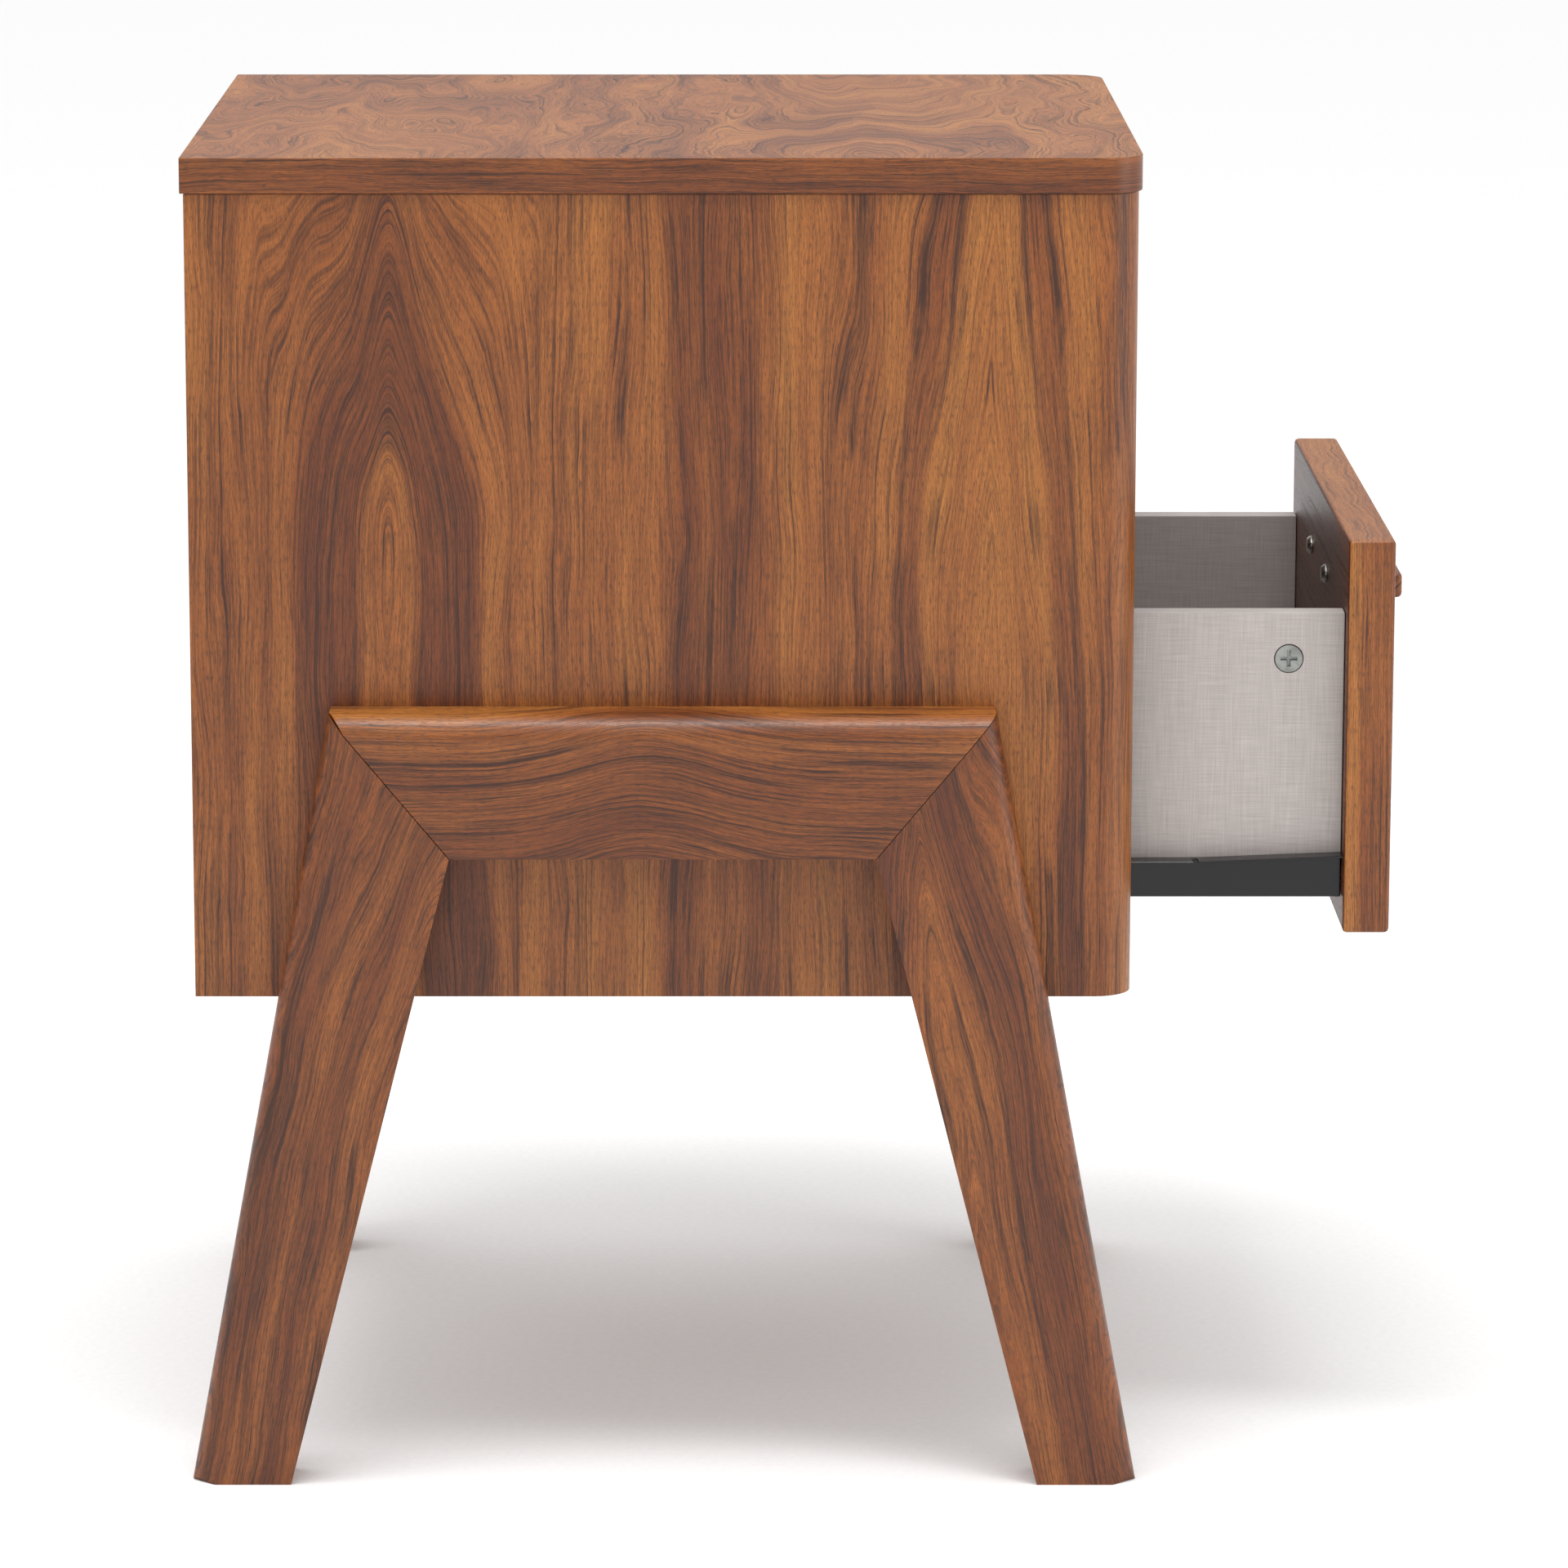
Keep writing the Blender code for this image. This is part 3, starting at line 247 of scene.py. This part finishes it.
def walnut(name, across, along, bands=(), arches=None, hump=None, seed=0.0, wander=6.0,
           reach=260.0, ring=5.2, figure=1.0):
    """Walnut-toned veneer under satin lacquer.

    Sliced veneer shows growth rings as dark lines along the board. They close into pointed
    arches where the knife passed the heart, and between them run hair-fine fibres and the short
    dashes of open pores. across and along are the directions of the leaf. bands are (place,
    tone) pairs across it, from 0 for golden sapwood to 1 for red-brown heart. arches is (heart,
    leaf, foot, lean, slope): where the heart runs, how far off the next one is, where the
    arches start, how that shifts across, and how fast they close. hump is (middle, width, rise)
    of a swell in the lines. wander and reach are how far and over what length the grain strays,
    ring is from one line to the next, and figure is how dark the lines are. All lengths are
    in mm.
    """
    material, tree, place = new_material(name)
    u = add(tree, "VectorMath", {0: place, 1: Vector(across) / MM}, operation="DOT_PRODUCT")
    v = add(tree, "VectorMath", {0: place, 1: Vector(along) / MM}, operation="DOT_PRODUCT")
    bent = strayed_grain(tree, u, v, wander, reach, hump, seed)
    rings = lay = bent
    if arches:
        rings, lay = arched_rings(tree, bent, u, v, arches, wander, seed)
    line = growth_lines(tree, rings, v, ring, figure, seed)
    tone = leaf_tone(tree, rings, lay, u, v, bands, seed)
    wood = add(tree, "ValToRGB", {"Fac": tone}, stops=WALNUT_TONES)

    # Between the growth lines run closer ones and hairs, which crowd together in redder wood.
    close = add(tree, "MapRange", {
        "Value": streaks(tree, rings, v, CLOSE_LINES, seed + 31.0, 4.0, 0.75),
        "From Min": 0.45, "From Max": 0.58}, interpolation_type="SMOOTHSTEP")
    hair = add(tree, "MapRange", {
        "Value": streaks(tree, rings, v, HAIR_LINES, seed + 37.0, 3.0, 0.7),
        "From Min": 0.44, "From Max": 0.60}, interpolation_type="SMOOTHSTEP")
    hairs = add(tree, "Math", {0: hair, 1: 0.32}, operation="MULTIPLY")
    packed = add(tree, "Math", {0: close, 1: 0.44, 2: hairs}, operation="MULTIPLY_ADD")
    crowd = add(tree, "MapRange", {
        "Value": tone, "From Min": 0.1, "From Max": 0.9, "To Min": 0.65, "To Max": 1.25
    }, interpolation_type="SMOOTHSTEP")
    bold = add(tree, "Math", {0: line, 1: 0.66}, operation="MULTIPLY")
    darker = add(tree, "Math", {0: packed, 1: crowd, 2: bold}, operation="MULTIPLY_ADD")
    lined = add(tree, "Mix", {"Factor": darker, "A": wood, "B": srgb(LATE_WOOD)},
                data_type="RGBA")

    # Pores are short dark grooves. Fibres catch the light one by one.
    pores = add(tree, "MapRange", {
        "Value": streaks(tree, bent, v, PORES, seed + 53.0, 1.0),
        "From Min": 0.56, "From Max": 0.66}, interpolation_type="SMOOTHSTEP")
    filled = add(tree, "Math", {0: pores, 1: 0.45}, operation="MULTIPLY")
    pored = add(tree, "Mix", {"Factor": filled, "A": lined, "B": srgb(OPEN_PORE)},
                data_type="RGBA")
    fibre = streaks(tree, bent, v, FIBRES, seed + 41.0, 2.0, 0.6)
    lift = add(tree, "MapRange", {
        "Value": fibre, "From Min": 0.30, "From Max": 0.70, "To Min": 0.88, "To Max": 1.20
    }, interpolation_type="SMOOTHSTEP")
    colour = add(tree, "HueSaturation", {"Color": pored, "Value": lift})
    dryness = add(tree, "Math", {0: line, 1: 0.2, 2: fibre}, operation="MULTIPLY_ADD")
    roughness = add(tree, "MapRange", {
        "Value": dryness, "From Min": 0.3, "From Max": 0.9, "To Min": 0.34, "To Max": 0.50
    }, interpolation_type="SMOOTHSTEP")
    ridges = add(tree, "Math", {0: fibre, 1: 0.35}, operation="MULTIPLY")
    relief = add(tree, "Math", {0: pores, 1: -1.0, 2: ridges}, operation="MULTIPLY_ADD")
    finish_material(tree, colour, roughness, relief, 0.03 * MM, IOR=1.5)
    return material


def linen_foil():
    """Printed linen-look foil on board: pale grey crossed threads with slubs, almost matt."""
    material, tree, place = new_material("linen_foil")
    # Threads 0.3 mm wide are drawn 0.5 mm wide, so that they show.
    fine, slub = 1 / (0.526 * MM), 1 / (16.7 * MM)
    warp, weft = [
        add(tree, "TexNoise", {
            "Vector": add(tree, "VectorMath", {0: place, 1: pull}, operation="MULTIPLY"),
            "Scale": 1.0, "Detail": 1.0, "Roughness": 0.5})
        for pull in ((fine, fine, slub), (slub, slub, fine))]
    weave = add(tree, "Math", {0: warp, 1: weft}, operation="ADD")
    shade = add(tree, "Math", {0: weave, 1: 0.5}, operation="MULTIPLY")
    colour = add(tree, "ValToRGB", {"Fac": shade}, stops=(
        (0.30, "#A59D99"), (0.46, "#AFA7A3"), (0.56, "#B4ACA8"), (0.72, "#BEB7B3")))
    roughness = add(tree, "MapRange", {
        "Value": weave, "From Min": 0.6, "From Max": 1.4, "To Min": 0.52, "To Max": 0.68})
    finish_material(tree, colour, roughness, weave, 0.04 * MM, IOR=1.5)
    return material


def black_enamel():
    """Stoved black enamel on folded steel: very dark and glossy, with an orange-peel ripple."""
    material, tree, place = new_material("black_enamel")
    ripple = add(tree, "TexNoise", {"Vector": place, "Scale": 1 / (1.43 * MM), "Detail": 1.0})
    scuff = add(tree, "TexNoise", {"Vector": place, "Scale": 1 / (16.7 * MM), "Detail": 4.0})
    colour = add(tree, "ValToRGB", {"Fac": scuff}, stops=((0.35, "#040306"), (0.65, "#0A080D")))
    roughness = add(tree, "MapRange", {
        "Value": scuff, "From Min": 0.3, "From Max": 0.7, "To Min": 0.12, "To Max": 0.22})
    finish_material(tree, colour, roughness, ripple, 0.01 * MM, IOR=1.45)
    return material


def zinc(name, low, high, grain, gloss):
    """Zinc, plated bright on screws or die cast on cams: grey metal with a fine frosty grain.
    grain is the frost's size in mm, and gloss the roughness of its shiniest spots."""
    material, tree, place = new_material(name)
    frost = add(tree, "TexNoise", {"Vector": place, "Scale": 1 / (grain * MM), "Detail": 3.0})
    tarnish = add(tree, "TexNoise", {"Vector": place, "Scale": 1 / (6.25 * MM), "Detail": 4.0})
    colour = add(tree, "ValToRGB", {"Fac": tarnish}, stops=((0.35, low), (0.65, high)))
    roughness = add(tree, "MapRange", {
        "Value": frost, "From Min": 0.3, "From Max": 0.7, "To Min": gloss, "To Max": gloss + 0.2})
    finish_material(tree, colour, roughness, frost, 0.02 * MM, Metallic=1.0)
    return material


def nylon():
    """Moulded natural nylon: milky white, half matt, faintly cloudy."""
    material, tree, place = new_material("nylon")
    cloud = add(tree, "TexNoise", {"Vector": place, "Scale": 1 / (4.55 * MM), "Detail": 3.0})
    colour = add(tree, "ValToRGB", {"Fac": cloud}, stops=((0.35, "#CFCBC1"), (0.65, "#E2DFD6")))
    roughness = add(tree, "MapRange", {
        "Value": cloud, "From Min": 0.3, "From Max": 0.7, "To Min": 0.38, "To Max": 0.5})
    finish_material(tree, colour, roughness, cloud, 0.02 * MM, IOR=1.53)
    return material


def hardboard():
    """Foil-faced hardboard: dull brown, with the screen pattern pressed in by its mat."""
    material, tree, place = new_material("hardboard")
    screen = add(tree, "TexVoronoi", {"Vector": place, "Scale": 1 / (1.25 * MM)})
    mottle = add(tree, "TexNoise", {"Vector": place, "Scale": 1 / (22.2 * MM), "Detail": 5.0})
    colour = add(tree, "ValToRGB", {"Fac": mottle}, stops=(
        (0.32, "#654130"), (0.50, "#6C4733"), (0.68, "#744D39")))
    roughness = add(tree, "MapRange", {
        "Value": mottle, "From Min": 0.3, "From Max": 0.7, "To Min": 0.55, "To Max": 0.72})
    finish_material(tree, colour, roughness, screen, 0.12 * MM, IOR=1.5)
    return material


def beech():
    """Turned beech: pale pinkish wood with short brown ray flecks along the dowel."""
    material, tree, place = new_material("beech")
    flecks = add(tree, "TexNoise", {"Vector": place, "Scale": 1 / (1.11 * MM), "Detail": 2.0})
    colour = add(tree, "ValToRGB", {"Fac": flecks}, stops=(
        (0.35, "#B98A5E"), (0.55, "#D2A77B"), (0.75, "#DDB78D")))
    roughness = add(tree, "MapRange", {
        "Value": flecks, "From Min": 0.3, "From Max": 0.7, "To Min": 0.55, "To Max": 0.7})
    finish_material(tree, colour, roughness, flecks, 0.05 * MM, IOR=1.5)
    return material


def studio_paper():
    """A roll of white background paper: matt, with a faint tooth."""
    material, tree, place = new_material("studio_paper")
    tooth = add(tree, "TexNoise", {"Vector": place, "Scale": 1 / (3.33 * MM), "Detail": 2.0})
    colour = add(tree, "ValToRGB", {"Fac": tooth}, stops=((0.3, "#F2F2F2"), (0.7, "#F6F6F6")))
    finish_material(tree, colour, 0.9, tooth, 0.02 * MM)
    return material


def clean_copy(node, arris):
    """The solid's mesh with flat faces whole and its longer sharp edges eased by an arris."""
    shape = bmesh.new()
    shape.from_mesh(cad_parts[node].data)
    bmesh.ops.remove_doubles(shape, verts=shape.verts, dist=WELD)
    bmesh.ops.dissolve_limit(shape, angle_limit=FLAT_WITHIN, verts=shape.verts,
                             edges=shape.edges)
    if arris:
        sharp = [
            edge for edge in shape.edges
            if len(edge.link_faces) == 2
            and edge.calc_face_angle_signed(0) > EDGE_FROM
            and edge.calc_length() > SHORTEST_EDGE
        ]
        bmesh.ops.bevel(shape, geom=sharp, offset=arris, offset_type="OFFSET", segments=2,
                        profile=0.5, affect="EDGES", clamp_overlap=True)
    mesh = bpy.data.meshes.new(node + "_finished")
    shape.to_mesh(mesh)
    shape.free()
    mesh.shade_smooth()
    mesh.set_sharp_from_angle(angle=ROUND_WITHIN)
    return mesh


def clad(node, body, face, bands=(), arris=BOARD_ARRIS):
    """Stands a finished copy in for a solid. bands are (directions, material) pairs: the faces
    that look in one of the directions take that band's material in place of the face's."""
    mesh = clean_copy(node, arris)
    mesh.materials.clear()
    mesh.materials.append(face)
    for index, (directions, material) in enumerate(bands, start=1):
        mesh.materials.append(material)
        for polygon in mesh.polygons:
            if any(polygon.normal.dot(direction) > FACING for direction in directions):
                polygon.material_index = index
    piece = bpy.data.objects.new(node + "_finished", mesh)
    bpy.context.scene.collection.objects.link(piece)
    piece.modifiers.new("flat_faces", "WEIGHTED_NORMAL").keep_sharp = True
    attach(piece, body)
    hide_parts(node)


def dress(node, material):
    """A solid whose shape is already right takes its finish as it stands."""
    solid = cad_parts[node]
    solid.data.materials.clear()
    solid.data.materials.append(material)


def make_case():
    """Striped sides with a cathedral towards the rear, a swirled top with its own edge band,
    the shelf and bottom cut from one leaf, and the hardboard back."""
    left_side = walnut(
        "walnut_left_side", RIGHT + FORWARD, UP, seed=1.0, ring=6.0, wander=4.0,
        bands=((-435, 0.40), (-396, 0.40), (-388, 0.80), (-364, 0.92), (-359, 0.35),
               (-340, 0.30), (-334, 0.95), (-312, 0.80), (-304, 0.32), (-240, 0.32),
               (-232, 0.62), (-190, 0.60), (-182, 0.32), (-140, 0.35), (-131, 0.75),
               (-121, 0.10), (-80, 0.12), (-72, 0.65), (-20, 0.60)),
        arches=(-349, 253, 352, -0.2, 0.3))
    right_side = walnut(
        "walnut_right_side", FORWARD - RIGHT, UP, seed=5.0, ring=6.5,
        bands=((-435, 0.5), (-380, 0.2), (-330, 0.7), (-250, 0.3), (-200, 0.8), (-120, 0.2),
               (-60, 0.6), (-20, 0.4)),
        arches=(-290, 240, 340, 0.2, 0.19))
    top_face = walnut(
        "walnut_top", FORWARD, RIGHT, seed=9.0, wander=15.0, reach=150.0, ring=4.0,
        figure=0.9, arches=(30, 230, -150, 0.3, 0.7),
        bands=((-260, 0.20), (-150, 0.30), (-60, 0.45), (0, 0.35), (60, 0.4), (140, 0.25)))
    top_edge = walnut(
        "walnut_top_edge", UP, RIGHT - FORWARD, seed=13.0, wander=2.0, reach=80.0, ring=4.0,
        bands=((550, 0.75), (570, 0.55)))
    shelf_face = walnut("walnut_shelf", -FORWARD, RIGHT, seed=17.0,
                        arches=(90, 260, -80, 0.1, 0.19))
    side_band = walnut("walnut_side_band", RIGHT, -FORWARD, seed=21.0, wander=2.0)
    board_band = walnut("walnut_board_band", UP, RIGHT, seed=25.0, wander=2.0)
    clad("top_panel", "carcass", top_face, [(ALL_ROUND, top_edge)], arris=None)
    clad("left_side_panel", "carcass", left_side, [((UP, -UP), side_band)])
    clad("right_side_panel", "carcass", right_side, [((UP, -UP), side_band)])
    for node in ("shelf_panel", "bottom_panel"):
        clad(node, "carcass", shelf_face, [((FORWARD,), board_band)])
    clad("back_panel", "carcass", hardboard(), arris=THIN_ARRIS)


def make_leg_frames():
    """Rails and legs are wrapped with the grain along them. Each rail turns golden along its top
    edge, a painted highlight on its round-over. On each leg a heart runs at its own distance
    from the leg's middle, in mm, and its arches start at their own height."""
    hearts = {"left_front": (14, 190), "left_rear": (30, 120), "right_front": (-14, 150),
              "right_rear": (22, 170)}
    low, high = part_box("left_leg_rail")
    rail_middle = (low.y + high.y) / 2 / MM
    for label, side in (("left", 1), ("right", -1)):
        sideways = RIGHT * side * 0.5
        # The last band turns the rail's top edge golden: a painted highlight on the round-over.
        rail = walnut(
            f"walnut_{label}_rail", UP + sideways, -FORWARD, seed=31.0 + side, wander=3.0,
            reach=150.0, ring=5.0, figure=1.2, hump=(rail_middle + 8, 38.0, 13.0),
            bands=((165, 0.78), (185, 0.66), (215, 0.56), (234, 0.50), (242, 0.15)))
        clad(f"{label}_leg_rail", "carcass", rail, arris=LEG_ARRIS)
        for end, direction in (("front", -1), ("rear", 1)):
            node = f"{label}_{end}_leg"
            up_leg = Vector((0, -direction * LEG_SPLAY, 1)).normalized()
            across = Vector((0, -direction, -LEG_SPLAY)).normalized() + sideways
            low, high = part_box(node)
            offset, foot = hearts[f"{label}_{end}"]
            heart = across.dot((low + high) / 2) / MM + offset
            leg = walnut(
                f"walnut_{node}", across, up_leg, seed=37.0 + 2 * side + direction,
                wander=4.0, reach=190.0, ring=5.0, figure=0.85,
                arches=(heart, 200, foot, 0, 0.15),
                bands=[(heart + place, tone) for place, tone in (
                    (-60, 0.64), (-38, 0.68), (-30, 0.90), (-25, 0.58), (-10, 0.48),
                    (8, 0.50), (16, 0.64), (24, 0.74), (42, 0.62))])
            clad(node, "carcass", leg, arris=LEG_ARRIS)


def make_drawer():
    """A veneered front with a paler strip at the inner side of its end bands, a backing in
    the darkest tone all over as painted shade, a solid pull, and a box of linen-faced boards."""
    low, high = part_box("drawer_front")
    outer, inner = low.y / MM, high.y / MM
    front_face = walnut("walnut_drawer_front", UP, RIGHT, seed=43.0,
                        arches=(300, 300, -60, 0.1, 0.15))
    # The inner face takes the darkest tone everywhere: painted shade for a face turned to the
    # case.
    shaded_back_face = walnut("walnut_drawer_backing_painted_shade", UP, RIGHT, seed=44.0,
                       bands=((200, 1.0), (410, 1.0)))
    end_band = walnut("walnut_drawer_end", -FORWARD, UP, seed=47.0, wander=2.0,
                      bands=((outer, 0.65), (inner - 7, 0.60), (inner - 5, 0.05), (inner, 0.05)))
    top_band = walnut("walnut_drawer_top", -FORWARD, RIGHT, seed=51.0, wander=4.0, reach=60.0,
                      bands=((-270, 0.3), (-230, 0.2)))
    pull_wood = walnut("walnut_pull", UP - FORWARD, RIGHT, seed=55.0, wander=2.0)
    bands = [((-FORWARD,), shaded_back_face), ((RIGHT, -RIGHT), end_band), ((UP, -UP), top_band)]
    clad("drawer_front", "drawer", front_face, bands, arris=None)
    clad("drawer_pull", "drawer", pull_wood, arris=None)
    linen = linen_foil()
    for node in ("drawer_left_side", "drawer_right_side", "drawer_back", "drawer_bottom"):
        clad(node, "drawer", linen)


def make_runners():
    enamel = black_enamel()
    for label in ("left", "right"):
        clad(f"{label}_case_runner", "carcass", enamel, arris=STEEL_BEND)
        clad(f"{label}_drawer_runner", "drawer", enamel, arris=STEEL_BEND)


def dress_small_parts():
    plated = zinc("plated_zinc", "#A9A79F", "#C9C7C0", grain=0.385, gloss=0.22)
    cast = zinc("cast_zinc", "#888A87", "#A6A8A4", grain=0.667, gloss=0.36)
    white = nylon()
    dowel_wood = beech()
    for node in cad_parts:
        if node.endswith("_dowel"):
            dress(node, dowel_wood)
        elif node.endswith("_roller"):
            dress(node, white)
        elif node.endswith("_cam"):
            body = "drawer" if node.startswith("drawer") else "carcass"
            clad(node, body, cast, arris=THIN_ARRIS)
        elif node.endswith(("_bolt", "_screw", "_pin", "_rivet")):
            dress(node, plated)


def make_floor():
    shape = bmesh.new()
    bmesh.ops.create_grid(shape, x_segments=1, y_segments=1, size=FLOOR_SIDE / 2)
    mesh = bpy.data.meshes.new("studio_floor")
    shape.to_mesh(mesh)
    shape.free()
    mesh.materials.append(studio_paper())
    floor = bpy.data.objects.new("studio_floor", mesh)
    bpy.context.scene.collection.objects.link(floor)


def add_softbox(name, place, width, height, power):
    """A rectangular soft light turned to the middle of the table."""
    light = bpy.data.lights.new(name, "AREA")
    light.shape = "RECTANGLE"
    light.size = width
    light.size_y = height
    light.energy = power
    box = bpy.data.objects.new(name, light)
    box.location = place
    towards = Vector(TABLE_MIDDLE) - Vector(place)
    box.rotation_euler = towards.to_track_quat("-Z", "Y").to_euler()
    bpy.context.scene.collection.objects.link(box)


def light_studio():
    """White walls, a wide glowing ceiling, a long key overhead and a square fill in front."""
    world = bpy.data.worlds.new("studio_white")
    world.use_nodes = True
    walls = world.node_tree.nodes["Background"]
    walls.inputs["Color"].default_value = srgb("#FFFFFF")
    walls.inputs["Strength"].default_value = 0.50
    bpy.context.scene.world = world
    glow = bpy.data.lights.new("ceiling", "SUN")
    glow.angle = CEILING_GLOW
    glow.energy = 1.8
    ceiling = bpy.data.objects.new("ceiling", glow)
    ceiling.rotation_euler = Vector((0, 0.08, 1)).to_track_quat("Z", "Y").to_euler()
    bpy.context.scene.collection.objects.link(ceiling)
    add_softbox("key", (-0.75, 0.2, 2.8), width=2.0, height=0.5, power=42)
    add_softbox("fill", (-1.0, -2.4, 0.9), width=1.2, height=1.2, power=14)


def place_camera():
    camera = bpy.data.cameras.new("camera")
    camera.lens = CAMERA_LENS
    camera.sensor_width = CAMERA_SENSOR
    camera.shift_x = CAMERA_SHIFT
    camera.clip_end = CAMERA_REACH
    holder = bpy.data.objects.new("camera", camera)
    holder.location = CAMERA_PLACE
    holder.rotation_euler = (math.pi / 2 - CAMERA_PITCH, 0, -math.pi / 2)
    bpy.context.scene.collection.objects.link(holder)
    bpy.context.scene.camera = holder
    bpy.context.scene.view_settings.view_transform = "Standard"


place_camera()
light_studio()
make_floor()
make_case()
make_leg_frames()
make_drawer()
make_runners()
dress_small_parts()
